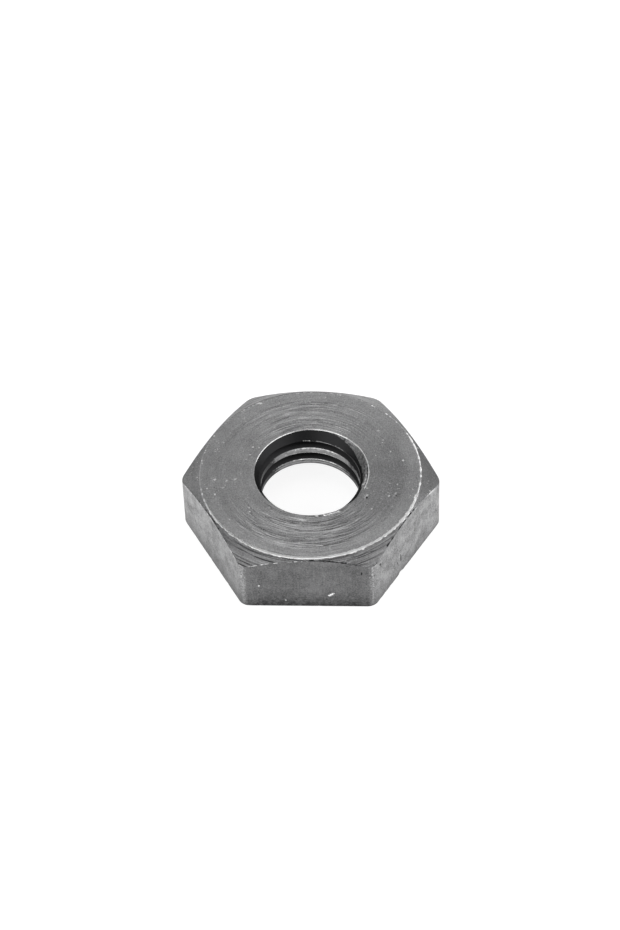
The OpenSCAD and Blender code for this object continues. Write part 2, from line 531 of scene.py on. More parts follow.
# Marks on the steel in mm: start, end, half width, depth, how bright and how dark they are. Starts and
# ends give X and height on the front flat, X and Y on the top face, and all three on the right flat
FRONT_MARKS = (
    ((2.16, 1.80), (2.66, 2.14), 0.14, 0.11, 1.0, 0.0),
    # Painted shadow along the upper edge of the gouge above
    ((1.85, 2.15), (2.35, 2.45), 0.12, 0.05, 0.0, 0.6),
    ((-5.15, 3.29), (-5.10, 3.33), 0.13, 0.06, 0.85, 0.0),
    ((-2.40, 1.01), (-2.36, 1.03), 0.11, 0.05, 0.9, 0.0),
    ((-0.83, 0.87), (-0.80, 0.88), 0.10, 0.04, 0.8, 0.0),
    ((5.60, 5.60), (5.62, 5.30), 0.11, 0.05, 0.0, 0.9),
    ((5.75, 4.80), (5.75, 4.60), 0.08, 0.04, 0.0, 0.8),
)
TOP_MARKS = (
    ((6.00, -3.35), (6.02, -3.30), 0.15, 0.08, 0.0, 1.1),
    ((6.08, -3.05), (6.10, -3.00), 0.12, 0.03, 0.8, 0.0),
    ((6.01, -4.32), (6.05, -4.28), 0.14, 0.07, 0.0, 1.0),
    ((9.04, -3.04), (9.10, -3.00), 0.15, 0.07, 0.0, 1.0),
    ((9.08, -2.75), (9.12, -2.70), 0.12, 0.03, 0.8, 0.0),
    ((1.72, -5.72), (2.05, -5.62), 0.18, 0.10, 1.1, 0.0),
    ((2.42, -5.45), (2.92, -5.20), 0.20, 0.10, 1.2, 0.0),
    ((3.15, -5.36), (3.30, -5.28), 0.13, 0.07, 0.8, 0.0),
    ((0.75, -5.92), (0.95, -5.90), 0.12, 0.07, 0.75, 0.0),
    ((-3.45, -5.05), (-3.30, -5.15), 0.12, 0.06, 0.7, 0.0),
    ((11.24, -2.88), (11.10, -3.30), 0.15, 0.03, 1.0, 0.0),
    ((1.30, 11.40), (1.33, 10.60), 0.09, 0.02, 0.5, 0.0),
    ((7.12, 6.16), (7.16, 6.14), 0.11, 0.03, 0.9, 0.0),
    ((8.62, 6.03), (8.66, 6.00), 0.11, 0.03, 0.9, 0.0),
    ((-5.68, 10.0), (-5.60, 10.05), 0.13, 0.03, 0.9, 0.0),
    ((-10.10, -0.98), (-10.05, -0.95), 0.14, 0.04, 1.0, 0.0),
    ((-7.99, -0.96), (-7.95, -0.96), 0.12, 0.03, 0.9, 0.0),
    ((-9.20, -2.10), (-9.10, -2.10), 0.12, 0.03, 0.8, 0.0),
    ((-6.35, -8.72), (-6.15, -8.80), 0.13, 0.03, 0.9, 0.0),
    ((-6.20, -5.40), (-6.15, -5.42), 0.12, 0.03, 0.8, 0.0),
    ((9.83, 1.89), (9.80, 1.95), 0.12, 0.03, 0.9, 0.0),
    ((8.41, -3.05), (8.36, -3.10), 0.11, 0.03, 0.8, 0.0),
    ((9.34, -2.06), (9.30, -2.10), 0.12, 0.03, 0.9, 0.0),
    ((8.70, -4.60), (8.75, -4.55), 0.11, 0.03, 0.8, 0.0),
    ((6.55, -4.90), (6.60, -4.88), 0.12, 0.03, 0.8, 0.0),
)
RIGHT_MARKS = (
    ((9.62, -7.32, 3.10), (9.68, -7.22, 2.00), 0.10, 0.08, 0.0, 1.0),
    ((9.30, -7.88, 2.40), (9.36, -7.78, 1.70), 0.09, 0.07, 0.0, 0.9),
    ((8.95, -8.50, 2.60), (8.98, -8.44, 2.10), 0.08, 0.05, 0.0, 0.8),
    ((7.56, -10.90, 5.71), (7.58, -10.86, 5.60), 0.15, 0.12, 0.0, 1.2),
    ((7.16, -11.36, 6.50), (7.18, -11.33, 6.40), 0.13, 0.10, 0.0, 1.1),
    ((9.60, -7.37, 0.05), (9.70, -7.20, 0.05), 0.24, 0.12, 0.0, 0.4),
)
# How many small nicks the upright edges and the foot have
UPRIGHT_NICKS = 30
FOOT_NICKS = 40


def side_point(sizes, turn):
    """X and Y in millimetres of the side of the nut at a turn angle."""
    radius = float(hexagon_radius(sizes, turn)) / MM
    return radius * math.cos(turn), radius * math.sin(turn)


def edge_nicks(sizes):
    """Seeded small nicks on the upright edges and along the foot, in the same form as the marks."""
    random = np.random.default_rng(24)
    nicks = []
    for _ in range(UPRIGHT_NICKS):
        turn = random.integers(SIDES) * SIDE_ANGLE + random.normal(0, 0.035)
        low = random.uniform(0.4, sizes.height / MM - 2.0)
        high = low + random.uniform(0.0, 0.5)
        half_width = random.uniform(0.08, 0.15)
        depth = random.uniform(0.02, 0.05)
        x, y = side_point(sizes, turn)
        nicks.append(((x, y, low), (x, y, high), half_width, depth, 0.38, 0.0))
    for _ in range(FOOT_NICKS):
        turn = random.uniform(0, math.tau)
        half_width = random.uniform(0.1, 0.25)
        depth = random.uniform(0.01, 0.035)
        x, y = side_point(sizes, turn)
        nicks.append(((x, y, 0.0), (x, y, 0.05), half_width, depth, 0.0, 0.3))
    return nicks


def all_marks(sizes):
    """The marks and nicks on all sides, each with its start and end in full."""
    front, top = -sizes.across_flats / 2 / MM, sizes.height / MM
    marks = [((x, front, z), (to_x, front, to_z), *rest) for (x, z), (to_x, to_z), *rest in FRONT_MARKS]
    marks += [((x, y, top), (to_x, to_y, top), *rest) for (x, y), (to_x, to_y), *rest in TOP_MARKS]
    return [*marks, *RIGHT_MARKS, *edge_nicks(sizes)]


def vertex_rows(mesh, name):
    """The place or the normal of each vertex, as rows of three numbers."""
    values = np.empty(len(mesh.vertices) * 3)
    mesh.vertices.foreach_get(name, values)
    return values.reshape(-1, 3)


def mark_steel(mesh, sizes):
    """Press the marks and nicks into the mesh, and return how bright and how dark they leave it."""
    place = vertex_rows(mesh, "co")
    outwards = vertex_rows(mesh, "normal")
    bright, dark, sunk = np.zeros((3, len(place)))
    for start, end, half_width, depth, brightness, darkness in all_marks(sizes):
        start, end = np.array(start) * MM, np.array(end) * MM
        way = end - start
        along = np.clip((place - start) @ way / max(way @ way, 1e-12), 0, 1)
        distance = np.linalg.norm(place - start - along[:, None] * way, axis=1)
        share = near(distance, 0, half_width * MM)
        sunk = np.maximum(sunk, depth * MM * share)
        bright = np.maximum(bright, brightness * share)
        dark = np.maximum(dark, darkness * share)
    mesh.vertices.foreach_set("co", (place - outwards * sunk[:, None]).ravel())
    mesh.update()
    return bright, dark


class Spots:
    """Where the vertices of the nut's mesh lie, in millimetres and radians, and in which zones."""

    def __init__(self, mesh, sizes):
        x, y, self.z = vertex_rows(mesh, "co").T / MM
        self.turn = np.arctan2(y, x)
        self.radius = np.hypot(x, y)
        self.height = sizes.height / MM
        self.face_r = (sizes.across_flats / 2 - sizes.face_inset) / MM
        self.side = hexagon_radius(sizes, self.turn) / MM
        self.arc_height = self.height - (self.side - self.face_r) * math.tan(sizes.chamfer_slope)
        self.from_edge = np.abs((self.turn + SIDE_ANGLE / 2) % SIDE_ANGLE - SIDE_ANGLE / 2)
        self.off_corner = self.from_edge > math.radians(4)
        self.mouth = mouth_radius_at(sizes, self.turn) / MM
        # Zones, with room for the worn edges and the marks between them
        self.on_top = self.z > self.height - 0.35
        self.on_side = (self.radius > self.side - 0.12) & (self.z < self.arc_height + 0.02)
        self.on_chamfer = (self.radius > self.face_r) & ~self.on_side & (self.z > 4)
        above_recess = self.z > sizes.recess_depth / MM + 0.05
        self.in_bore = (self.radius < self.mouth + 0.35) & above_recess & (self.z < self.height - 0.03)


# Arcs of wear, grime and painted shade round the nut: start, end and fade in degrees from +X towards +Y,
# and strength
WIDER_CIRCLE = ((-60, -26, 10, 0.03), (-128, -66, 8, 0.03))
WIDER_RIM = ((76, 96, 8, 0.026), (-18, 42, 8, 0.02))
FAINTER_BEADS = ((-56, -30, 3, 0.35), (-90, -66, 3, 0.3))
BLACK_LINE = ((-88, -67, 3, 0.5), (-152, -126, 4, 0.25), (-56, -24, 4, 0.5))
# Painted shade in the bore on the left and on the right
BORE_SHADE = ((150, 260, 22, 0.7), (-30, 36, 18, 0.45))
FLAT_STAINS = ((-148, -122, 10, 0.11), (-58, -20, 12, 0.14))
# Painted shade on the chamfer at the front and on the right
CHAMFER_SHADE = ((-145, -40, 10, 0.39), (-20, 20, 8, 0.2))
# Painted shade over the front right and right of the top face; the next table only inside its outer band
FACE_SHADE = ((-80, -12, 24, 0.08), (-30, 0, 14, 0.1))
INNER_FACE_SHADE = ((-62, -12, 14, 0.12), (6, 22, 18, 0.22))


def circle_wear_and_highlight(spots):
    """The worn circle round the top face, partly a painted highlight: full at the front, beaded at the
    sides, sparkling at the back.
    """
    turn = spots.turn
    beads = patchy(turn, 260, 3)
    beaded = around(turn, -150, 14, 22) * (0.45 + 0.75 * beads)
    sparkle = around(turn, 25, 212, 8) * patchy(turn, 340, 9) ** 2.5
    sparkle = 0.8 * sparkle * (1 - 0.35 * around(turn, 170, 212, 10))
    share = np.maximum.reduce([around(turn, -118, -62, 16), beaded, sparkle])
    share = share * (1 - 0.35 * around(turn, -12, 14, 8))
    width = 0.075 + 0.055 * beads + arcs(turn, WIDER_CIRCLE)
    return 1.6 * near(spots.radius, spots.face_r - 0.07, width) * spots.on_top * share


def rim_wear(spots):
    """The bore's rim worn bright, uneven on the right and dull on the left."""
    turn = spots.turn
    right = around(turn, -18, 78, 6) * (0.8 + 0.6 * patchy(turn, 170, 7))
    left = 0.65 * around(turn, 165, 214, 10)
    share = np.maximum.reduce([around(turn, 82, 165, 14), right, left])
    share = share * (1 - 0.35 * around(turn, 43, 58, 4))
    width = 0.062 + arcs(turn, WIDER_RIM)
    at_top = spots.z > spots.height - 0.04
    return 1.1 * near(spots.radius, spots.mouth + 0.02, width) * at_top * share


def ring_highlight_and_shade(spots):
    """How bright and how dark the deep rings are painted, in broken arcs at the front and the back: painted
    highlight and shade where the light rakes the rings.
    """
    front_back = np.clip(np.abs(np.sin(spots.turn)) * 1.7 - 0.55, 0, 1)
    light, dark = np.zeros((2, len(spots.turn)))
    for number, (ring, share) in enumerate(DEEP_RINGS):
        broken = share * front_back * (0.3 + 0.7 * patchy(spots.turn, 60, 40 + number))
        light = np.maximum(light, near(spots.radius, ring, 0.04) * broken)
        dark = np.maximum(dark, near(spots.radius, ring - RING_HALF_WIDTH, 0.03) * broken)
    return 0.8 * light * spots.on_top, 0.5 * dark * spots.on_top


def edge_wear(spots):
    """Bright beads along the arcs between flats and chamfer, and a faint line down each upright edge."""
    turn = spots.turn
    beads = patchy(turn, 300, 11) ** (0.8 - 0.35 * around(turn, -118, -92, 3))
    beads = beads * (1 - arcs(turn, FAINTER_BEADS)) * (0.5 + 0.65 * patchy(turn, 620, 13))
    arc = near(spots.z, spots.arc_height - 0.07, 0.09) * beads * (0.7 + 0.3 * spots.off_corner)
    upright = near(spots.from_edge, 0.0, 0.035) * (0.22 + 0.12 * np.clip(spots.z / spots.height, 0, 1))
    return np.maximum(arc, upright) * spots.on_side


def chamfer_black_line(spots):
    """The broken black line along the foot of the chamfer."""
    black = (0.45 + arcs(spots.turn, BLACK_LINE)) * patchy(spots.turn, 210, 5) ** 0.6
    return black * (spots.on_chamfer & (spots.z < spots.arc_height + 0.09) & spots.off_corner)


def bore_wear_highlight_and_shade(spots, sizes):
    """How bright the countersink is worn and the crests are painted with highlights, and how dark the bore
    is with grime and painted shade.
    """
    turn, radius, z, in_bore = spots.turn, spots.radius, spots.z, spots.in_bore
    crest_r = crest_radius(sizes) / MM
    half = half_groove(sizes) / MM
    turns_off = (z * MM - groove_height(sizes, turn)) / sizes.pitch
    off_centre = np.abs(turns_off - np.round(turns_off)) * sizes.pitch / MM
    below_top = spots.height - z
    in_groove = in_bore & (off_centre < half - 0.03) & (radius > crest_r + 0.04)
    by_cone = (np.abs(radius - spots.mouth + below_top) < 0.05) | (below_top < 0.5)
    on_cone = in_bore & (radius > crest_r + 0.05) & by_cone
    on_crest = in_bore & (off_centre >= half - 0.03) & (radius < crest_r + 0.05) & (z > 4.6)

    # Painted shade on the back of the countersink, turning towards +X lower down
    painted_shade = around(turn + math.radians(58) * np.clip(below_top / 0.8, 0, 1), 78, 175, 12)
    # Painted shadow on the right of the countersink, near the thread
    painted_shadow_right = around(turn, -28, 60, 3) * (radius < crest_r + 0.26)
    dark_side = np.maximum.reduce([painted_shade, around(turn, 100, 205, 6), painted_shadow_right])
    bare = around(turn, -141, -44, 6)
    streaky = around(turn, -40, 34, 16) * (dark_side < 0.5)
    # How dark the countersink is made: less where it is bare, with painted shade from 38 to 80 degrees
    # where it would mirror a lamp
    dull = 0.3 - 0.3 * np.maximum(bare, streaky) + 0.28 * around(turn, 38, 80, 8)
    # Grime and painted shade in the bore: a base level, arcs on the left and right, a band along the crests
    # low down and more high up on the right
    grime_and_shade = 0.2 + arcs(turn, BORE_SHADE) + 0.5 * near(off_centre - half, 0.15, 0.06) * (z < 4.7)
    grime_and_shade = (grime_and_shade + 0.3 * around(turn, -30, 58, 12) * (z > 6.5)) * in_bore
    # Painted shade in the thread's grooves
    grime_and_shade = np.where(in_groove, 0.9, grime_and_shade)
    grime_and_shade = np.where(on_cone, np.maximum(0.9 * dark_side, dull), grime_and_shade)

    cone = np.maximum(0.66 * bare, 0.42 * streaky) * on_cone
    upper_edge = np.clip((turns_off % 1 - 0.45) / 0.3, 0, 1)
    # Painted highlight on the crests at the back of the bore, brighter towards their upper edges
    crest_highlight = 0.42 * around(turn, 64, 124, 24) * (0.62 + 0.38 * upper_edge) * on_crest
    # Painted highlight along the crests' edges at the back
    sharp = 0.62 * near(off_centre, half, 0.05) * (radius < crest_r + 0.12) * around(turn, 62, 112, 22)
    sharp = sharp * (1 - 0.35 * around(turn, 30, 80, 8) * (z > 6.5)) * in_bore
    return np.maximum.reduce([cone, crest_highlight, sharp]), grime_and_shade


def stains_and_shade(spots):
    """Darkening on the flats, the chamfer and the top face: painted shade towards the foot, lower down the
    left flat, on the front flat, at the front and the right of the chamfer and over the front right of the
    top face, a painted shadow along the very foot, and film in arcs on the side flats.
    """
    turn, z = spots.turn, spots.z
    from_edge = np.degrees(spots.from_edge)
    # Painted shade: the flats darker towards the foot
    foot = (0.5 - 0.1 * around(turn, -120, -60, 1)) * np.clip(1 - z / 3.2, 0, 1) ** 1.5
    # Painted shade: the left flat darker lower down
    left_flat_shade = 0.18 * around(turn, -178, -122, 2) * np.clip(1 - z / 6.5, 0, 1)
    # Painted shade: the front flat darker, less so near its upright edges
    front_flat_shade = 0.57 * around(turn, -120, -60, 0.5) * np.clip((from_edge - 0.4) / 1.8, 0, 1)
    front_flat_shade = front_flat_shade * (1 - 0.26 * np.clip((7.5 - from_edge) / 4, 0, 1))
    flats = foot + left_flat_shade + front_flat_shade + arcs(turn, FLAT_STAINS)
    # Painted shade over the front right of the top face
    inner = np.clip((10.5 - spots.radius) / 0.7, 0, 1)
    face = arcs(turn, FACE_SHADE) + inner * arcs(turn, INNER_FACE_SHADE)
    stain_and_shade = flats * spots.on_side + arcs(turn, CHAMFER_SHADE) * spots.on_chamfer
    stain_and_shade = stain_and_shade + face * (z > spots.height - 0.02)
    # Painted shadow along the very foot of the sides
    foot_shadow = 0.9 * np.clip(1.7 - z / 0.32, 0, 1) * (spots.radius > spots.side - 0.2)
    return np.maximum(stain_and_shade, foot_shadow)


def add_wear(mesh, sizes):
    """Press in the marks, and store on each vertex its bright wear and painted highlights, its grime and
    painted shade, and its film and painted shadow and shade.
    """
    bright, dark = mark_steel(mesh, sizes)
    spots = Spots(mesh, sizes)
    # Painted highlight and shade on the deep rings
    ring_highlights, ring_shade = ring_highlight_and_shade(spots)
    bore_worn_and_highlight, bore_grime_and_shade = bore_wear_highlight_and_shade(spots, sizes)
    rubbed_and_highlight = [circle_wear_and_highlight(spots), rim_wear(spots), ring_highlights, edge_wear(spots), bore_worn_and_highlight, bright]
    grime_and_shade = np.maximum.reduce([bore_grime_and_shade, chamfer_black_line(spots), ring_shade]) * (bright < 0.3)
    wear = {
        "rubbed_and_highlight": np.maximum.reduce(rubbed_and_highlight),
        "grime_and_shade": np.maximum(grime_and_shade, dark),
        "stain_and_shade": stains_and_shade(spots),
    }
    for name, values in wear.items():
        layer = mesh.attributes.new(name, "FLOAT", "POINT")
        layer.data.foreach_set("value", values.astype(np.float32))


class NodeSheet:
    """The nodes of a material or of the world, with short calls for the kinds that are used here."""

    def __init__(self, owner, shader="Principled BSDF"):
        owner.use_nodes = True
        self.owner = owner
        self.tree = owner.node_tree
        self.shader = self.tree.nodes[shader]

    def put(self, socket, value):
        """Link a socket to another, or set its value."""
        if isinstance(value, bpy.types.NodeSocket):
            self.tree.links.new(value, socket)
        else:
            socket.default_value = value

    def add(self, kind, values=(), **settings):
        """A new node with its settings, and with pairs of socket and value put in."""
        node = self.tree.nodes.new("ShaderNode" + kind)
        for name, setting in settings.items():
            setattr(node, name, setting)
        for socket, value in values:
            self.put(node.inputs[socket], value)
        return node

    def shade(self, **values):
        """Set or link the shader's sockets, named with underscores for spaces."""
        for name, value in values.items():
            self.put(self.shader.inputs[name.replace("_", " ")], value)

    def maths(self, operation, *values):
        return self.add("Math", enumerate(values), operation=operation).outputs[0]

    def plus(self, first, second):
        return self.maths("ADD", first, second)

    def times(self, first, second):
        return self.maths("MULTIPLY", first, second)

    def times_plus(self, value, factor, more):
        """A value times a factor, plus more."""
        return self.maths("MULTIPLY_ADD", value, factor, more)

    def vector(self, operation, *values, result=0):
        return self.add("VectorMath", enumerate(values), operation=operation).outputs[result]

    def scaled(self, vector, scale):
        values = ("Vector", vector), ("Scale", scale)
        return self.add("VectorMath", values, operation="SCALE").outputs[0]

    def joined(self, x, y, z):
        return self.add("CombineXYZ", enumerate((x, y, z))).outputs[0]

    def place(self):
        """Where a point is on the nut, in millimetres."""
        return self.scaled(self.add("TexCoord").outputs["Object"], 1 / MM)

    def flat_place(self):
        """Where a point is on the nut as seen from above."""
        return self.vector("MULTIPLY", self.place(), (1.0, 1.0, 0.0))

    def from_axis(self):
        """How far a point is from the bore axis, in millimetres."""
        return self.vector("LENGTH", self.flat_place(), result=1)

    def outward_way(self):
        """How far a point lies towards +X and towards +Y, as shares of its distance from the axis."""
        return self.add("SeparateXYZ", [(0, self.vector("NORMALIZE", self.flat_place()))]).outputs[:2]

    def ring_place(self, around, across):
        """A place where noise runs in rings, with so many waves round the nut and per mm outwards."""
        outwards = self.scaled(self.vector("NORMALIZE", self.flat_place()), around)
        return self.vector("ADD", outwards, self.joined(0.0, 0.0, self.times(self.from_axis(), across)))

    def noise(self, place, scale=1.0, detail=2.0, roughness=0.5):
        values = ("Vector", place), ("Scale", scale), ("Detail", detail), ("Roughness", roughness)
        return self.add("TexNoise", values, noise_dimensions="3D").outputs["Fac"]

    def dots(self, place, scale, radius):
        """One inside round dots that are scattered over the nut."""
        cells = self.add("TexVoronoi", (("Vector", place), ("Scale", scale)))
        return self.maths("LESS_THAN", cells.outputs["Distance"], radius)

    def ramp(self, value, low, high, to_low=0.0, to_high=1.0):
        """A smooth step from one value to another."""
        names = ("Value", "From Min", "From Max", "To Min", "To Max")
        values = zip(names, (value, low, high, to_low, to_high))
        return self.add("MapRange", values, interpolation_type="SMOOTHSTEP").outputs["Result"]

    def line(self, value, level, reach):
        """One where a value crosses a level, falling to nothing over the reach."""
        off = self.maths("ABSOLUTE", self.maths("SUBTRACT", value, level))
        return self.ramp(off, 0.0, reach, 1.0, 0.0)

    def blend(self, share, below, above):
        """A colour from the finish's properties, laid over another."""
        node = self.add("Mix", data_type="RGBA")
        sockets = {socket.identifier: socket for socket in node.inputs}
        self.put(sockets["Factor_Float"], share)
        self.put(sockets["A_Color"], below)
        self.put(sockets["B_Color"], (*above, 1.0))
        return next(socket for socket in node.outputs if socket.identifier == "Result_Color")

    def bump(self, height, depth_mm, *before):
        """The surface's direction with relief added, on top of that of a bump before it."""
        values = [("Distance", depth_mm * MM), ("Height", height)]
        values += [("Normal", normal) for normal in before]
        return self.add("Bump", values).outputs["Normal"]

    def worn_share(self, name):
        """How much of a kind of wear, with its painted light and shade, the mesh holds at a point."""
        return self.add("Attribute", attribute_name=name).outputs["Fac"]

    def with_wear(self, colour, roughness, finish):
        """The colour and roughness with film, grime and bright worn steel laid over them, along with
        painted shadow, shade and highlights, all broken up.
        """
        grain = self.noise(self.place(), 3.2, 3.0, 0.65)
        uneven = self.times_plus(grain, 0.9, -0.45)
        # Film with painted shadow and shade
        stain_and_shade_share = self.times(self.worn_share("stain_and_shade"), self.plus(grain, 0.5))
        colour = self.blend(stain_and_shade_share, colour, finish.dark_steel)
        # Grime with painted shade
        dirt_and_shade = self.ramp(self.plus(self.worn_share("grime_and_shade"), uneven), 0.3, 0.75)
        colour = self.blend(dirt_and_shade, colour, finish.dark_steel)
        # Bright worn steel with painted highlights
        rubbed_and_highlight = self.ramp(self.plus(self.worn_share("rubbed_and_highlight"), uneven), 0.3, 0.7)
        colour = self.blend(rubbed_and_highlight, colour, finish.bright_steel)
        roughness = self.times_plus(dirt_and_shade, 0.15, roughness)
        roughness = self.times_plus(rubbed_and_highlight, -0.12, roughness)
        return colour, roughness

    def metal(self, colour, roughness, normal):
        """The material, made metal of that colour, roughness and relief."""
        self.shade(Base_Color=colour, Roughness=roughness, Normal=normal, Metallic=1.0)
        return self.owner


def tool_mark_and_sheen_share(sheet, radius):
    """How strongly the tool marks are drawn, in relief and as a painted sheen: most at the front and back,
    less on the sides and back right.
    """
    towards_x, towards_y = sheet.outward_way()
    share = sheet.ramp(sheet.maths("ABSOLUTE", towards_y), 0.5, 0.96, 0.14, 1.0)
    share = sheet.times(share, sheet.ramp(towards_y, -0.9, 0.0, 1.6, 1.0))
    back_right = sheet.plus(towards_x, sheet.times(towards_y, 0.8))
    share = sheet.times(share, sheet.ramp(back_right, 0.8, 1.2, 1.0, 0.35))
    on_face = sheet.ramp(radius, 10.2, 10.6, 1.0, 0.3)
    on_chamfer = sheet.ramp(radius, 11.7, 11.8, 0.0, 0.85)
    return sheet.times(share, sheet.maths("MAXIMUM", on_face, on_chamfer))


def turned_finish(finish, name, tone, ring_depth, groove_share, grooves_per_mm):
    """Steel as a lathe leaves it: fine rings, darker grooves in broken arcs, specks and scratches, with a
    painted sheen that makes the rings lighter and darker most at the front and back.
    """
    sheet = NodeSheet(bpy.data.materials.new(name))
    place = sheet.place()
    radius = sheet.from_axis()
    towards_y = sheet.outward_way()[1]
    fine = sheet.noise(sheet.ring_place(2.6, 7.0), 1.0, 2.0, 0.6)
    broad = sheet.noise(sheet.ring_place(1.6, 2.3), 1.0, 3.0, 0.6)
    arcs_across = sheet.noise(sheet.ring_place(1.1, grooves_per_mm), 1.0, 2.0, 0.55)
    ridges_across = sheet.noise(sheet.ring_place(0.9, grooves_per_mm * 0.8))
    scratches = sheet.noise(sheet.ring_place(52.0, 0.9), 1.0, 2.0, 0.6)
    cloud = sheet.noise(place, 0.28, 3.0, 0.6)
    grain = sheet.noise(place, 7.0, 3.0, 0.8)
    marks = tool_mark_and_sheen_share(sheet, radius)

    # Painted sheen: the rings lighter and darker most where the marks share is high
    rings = sheet.times_plus(fine, 1.8, sheet.times(broad, 0.6))
    rings = sheet.times(sheet.maths("SUBTRACT", rings, 1.2), marks)
    lightness = sheet.times_plus(cloud, 0.5, sheet.maths("SUBTRACT", rings, 0.2))
    lightness = sheet.times_plus(grain, 1.9, lightness)
    front = sheet.ramp(towards_y, -0.7, -0.1, 0.12, 0.0)
    lightness = sheet.times_plus(sheet.ramp(radius, 9.9, 10.4), front, lightness)
    lightness = sheet.plus(lightness, sheet.ramp(scratches, 0.62, 0.76, 0.0, 0.3))
    lightness = sheet.times(lightness, tone)
    # Painted shade in the grooves and painted highlight on the ridges, by the same share
    groove = sheet.times(sheet.line(arcs_across, 0.5, 0.04), marks)
    lightness = sheet.times(lightness, sheet.times_plus(groove, -groove_share, 1.0))
    ridge = sheet.times(sheet.times(sheet.line(ridges_across, 0.54, 0.03), 0.3), marks)
    lightness = sheet.times_plus(lightness, ridge, lightness)
    colour = sheet.scaled(sheet.joined(*finish.steel), lightness)

    calm_sides = sheet.ramp(sheet.maths("ABSOLUTE", towards_y), 0.3, 0.9, 1.0, 0.4)
    patch = sheet.times(sheet.ramp(sheet.noise(place, 0.45, 1.0), 0.42, 0.62), calm_sides)
    speck = sheet.times(sheet.dots(place, 1.3, 0.12), 0.8)
    speck = sheet.times_plus(sheet.dots(place, 2.6, 0.15), 0.5, speck)
    colour = sheet.blend(sheet.times(speck, patch), colour, finish.bright_steel)
    pit = sheet.times(sheet.dots(sheet.vector("ADD", place, (7.0, 3.0, 5.0)), 1.5, 0.11), 0.45)
    colour = sheet.blend(sheet.times(pit, patch), colour, finish.dark_steel)

    roughness = sheet.times_plus(broad, 0.16, 0.32)
    roughness = sheet.times_plus(speck, 0.25, roughness)
    colour, roughness = sheet.with_wear(colour, roughness, finish)
    relief = sheet.times_plus(marks, 0.6, 0.3)
    normal = sheet.bump(sheet.times(fine, relief), ring_depth * 0.8)
    normal = sheet.bump(sheet.times(broad, relief), ring_depth * 1.4, normal)
    normal = sheet.bump(groove, ring_depth * -0.8, normal)
    normal = sheet.bump(grain, 0.005, normal)
    tangent = sheet.add("Tangent", direction_type="RADIAL", axis="Z")
    sheet.shade(Anisotropic=0.45, Tangent=tangent.outputs[0])
    return sheet.metal(colour, roughness, normal)


def drawn_finish(finish):
    """Cold-drawn hexagon bar: mottled most on the side flats, with faint upright lines and small pits."""
    sheet = NodeSheet(bpy.data.materials.new("drawn steel"))
    place = sheet.place()
    along = sheet.noise(sheet.vector("MULTIPLY", place, (5.0, 5.0, 0.3)), 1.0, 2.0, 0.6)
    mottle = sheet.noise(place, 0.8, 5.0, 0.66)
    cloud = sheet.noise(place, 0.26, 2.0, 0.5)
    grain = sheet.noise(place, 5.5, 3.0, 0.8)
    sideways = sheet.ramp(sheet.maths("ABSOLUTE", sheet.outward_way()[0]), 0.45, 0.6)
    spread = sheet.times_plus(sideways, 1.0, 1.25)
    lightness = sheet.times_plus(sheet.maths("SUBTRACT", mottle, 0.5), spread, -0.955)
    for pattern, contrast in ((cloud, 0.7), (along, 0.6), (grain, 2.6)):
        lightness = sheet.times_plus(pattern, contrast, lightness)
    colour = sheet.scaled(sheet.joined(*finish.drawn_steel), lightness)

    patch = sheet.ramp(sheet.noise(place, 0.6, 1.0), 0.45, 0.6)
    pit = sheet.times(sheet.dots(place, 1.5, 0.115), sheet.times(patch, 0.6))
    colour = sheet.blend(pit, colour, finish.dark_steel)
    speck = sheet.dots(sheet.vector("ADD", place, (4.0, 9.0, 2.0)), 1.5, 0.1)
    speck = sheet.times(speck, sheet.times(patch, 0.25))
    colour = sheet.blend(speck, colour, finish.bright_steel)

    roughness = sheet.times_plus(mottle, 0.2, 0.34)
    colour, roughness = sheet.with_wear(colour, roughness, finish)
    normal = sheet.bump(mottle, 0.03)
    normal = sheet.bump(along, 0.004, normal)
    normal = sheet.bump(grain, 0.007, normal)
    return sheet.metal(colour, roughness, normal)


def thread_finish(finish):
    """Tapped thread and countersink, streaked along the helix. The mesh holds the grime and painted shade
    in the bore, and the worn cone and painted highlights on the crests.
    """
    sheet = NodeSheet(bpy.data.materials.new("tapped thread"))
    place = sheet.place()
    streak = sheet.noise(sheet.vector("MULTIPLY", place, (0.7, 0.7, 7.0)), 1.0, 2.0, 0.6)
    grain = sheet.noise(place, 5.0, 3.0, 0.7)
    lightness = sheet.times_plus(grain, 0.4, sheet.times(streak, 0.9))
    colour = sheet.scaled(sheet.joined(*finish.steel), lightness)
    roughness = sheet.times_plus(grain, 0.2, 0.22)
    colour, roughness = sheet.with_wear(colour, roughness, finish)
    normal = sheet.bump(streak, 0.006)
    normal = sheet.bump(grain, 0.003, normal)
    return sheet.metal(colour, roughness, normal)


# Turned zones: material, tone, depth of the rings in mm, how dark the grooves are and how many a mm has
TURNED_FACE = ("turned face", 1.0, 0.009, 0.3, 2.4)
TURNED_CHAMFER = ("turned chamfer", 0.72, 0.014, 0.55, 2.8)
TURNED_UNDERSIDE = ("turned underside", 0.9, 0.009, 0.25, 2.4)


class LOCKNUT_OT_make_nut(bpy.types.Operator):
    """Make the threaded steel nut with its tool marks and worn edges"""

    bl_idname = "locknut.make_nut"
    bl_label = "Make Nut"

    def execute(self, context):
        sizes = context.scene.lock_nut_sizes
        vertices, faces = nut_grid(sizes)
        mesh = new_mesh("turned_lock_nut", vertices, faces)
        piece = bpy.data.objects.new("turned_lock_nut", mesh)
        context.scene.collection.objects.link(piece)
        finish = context.scene.lock_nut_finish
        for material in (
            turned_finish(finish, *TURNED_FACE),
            turned_finish(finish, *TURNED_CHAMFER),
            drawn_finish(finish),
            thread_finish(finish),
            turned_finish(finish, *TURNED_UNDERSIDE),
        ):
            mesh.materials.append(material)
        paint_zones(mesh, sizes)
        add_wear(mesh, sizes)
        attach(piece, "root")
        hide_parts("nut")
        return {"FINISHED"}


